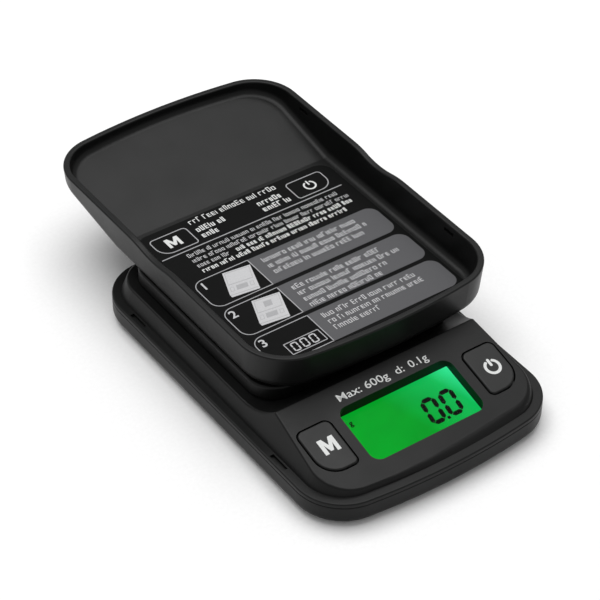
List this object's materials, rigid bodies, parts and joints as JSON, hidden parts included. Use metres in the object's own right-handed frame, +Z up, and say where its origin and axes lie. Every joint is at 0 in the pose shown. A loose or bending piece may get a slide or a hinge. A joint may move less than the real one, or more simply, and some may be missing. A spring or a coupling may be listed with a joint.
{
  "type": "digital gram scale",
  "caption": "Pocket gram scale with a round-cornered case, a lit display between its keys and a raised platform that carries its turned-over cover as a tray.",
  "frame": {"origin": "on the surface the rubber feet stand on, below the middle of the case", "axes": "+Z up, the display end faces -Y, +X to the right of someone reading the display"},
  "size_m": [0.0839, 0.1527, 0.0291],
  "materials": {
    "case": "black moulded ABS, fine satin texture",
    "platform": "black moulded plate, fine satin texture",
    "cover": "black moulded cover, satin",
    "key": "black key caps, semi-gloss",
    "label": "printed black card, silk",
    "carrier": "black glass-filled moulding",
    "plunger": "off-white moulding",
    "switch": "stamped steel shell",
    "window": "thin clear sheet",
    "lcd": "lit green display glass",
    "backlight": "green-lit light guide",
    "elastomer": "striped contact rubber",
    "board": "green solder mask",
    "screw": "zinc plated",
    "epoxy": "black resin",
    "chip": "component bodies",
    "beam": "milled bar",
    "gauge": "film gauge under lacquer",
    "cell": "plain dark sleeve with a bare end",
    "contact": "nickel plated spring steel",
    "wire": "coloured insulation",
    "foot": "dark rubber pads"
  },
  "bodies": {
    "case": {"lower_case": "case", "upper_case": "case", "display_window": "window", "lcd_glass": "lcd", "lcd_backlight": "backlight", "lcd_frame": "carrier", "zebra_strips": "elastomer", "main_pcb": "board", "pcb_screws": "screw", "controller_blob": "epoxy", "board_components": "chip", "mode_switch": "switch", "power_switch": "switch", "load_cell": "beam", "strain_gauges": "gauge", "overload_stop": "screw", "battery_cells": "cell", "battery_springs": "contact", "battery_plates": "contact", "sensor_wires": "wire", "battery_wires": "wire", "rubber_feet": "foot", "case_screws": "screw", "load_cell_screws": "screw"},
    "platform": {"weighing_platform": "platform", "platform_carrier": "carrier", "carrier_screws": "screw"},
    "tray": {"lid_tray": "cover", "guide_label": "label"},
    "mode_key": {"mode_button": "key", "mode_plunger": "plunger"},
    "power_key": {"power_button": "key", "power_plunger": "plunger"},
    "door": {"battery_door": "case"}
  },
  "joints": [
    {"name": "platform_press", "type": "slide", "parent": "case", "child": "platform", "axis": [0, 0, 1], "range_m": [-0.00025, 0], "stiffness_N_per_m": 3000, "springref_m": 0.0005},
    {"name": "tray_lift", "type": "slide", "parent": "platform", "child": "tray", "axis": [0, 0, 1], "range_m": [0, 0.06]},
    {"name": "mode_press", "type": "slide", "parent": "case", "child": "mode_key", "axis": [0, -0.2453, 0.9694], "range_m": [-0.00045, 0], "stiffness_N_per_m": 1250, "springref_m": 0.0003},
    {"name": "power_press", "type": "slide", "parent": "case", "child": "power_key", "axis": [0, -0.2453, 0.9694], "range_m": [-0.00045, 0], "stiffness_N_per_m": 1250, "springref_m": 0.0003},
    {"name": "door_release", "type": "slide", "parent": "case", "child": "door", "axis": [0, 0, -1], "range_m": [0, 0.02]}
  ]
}
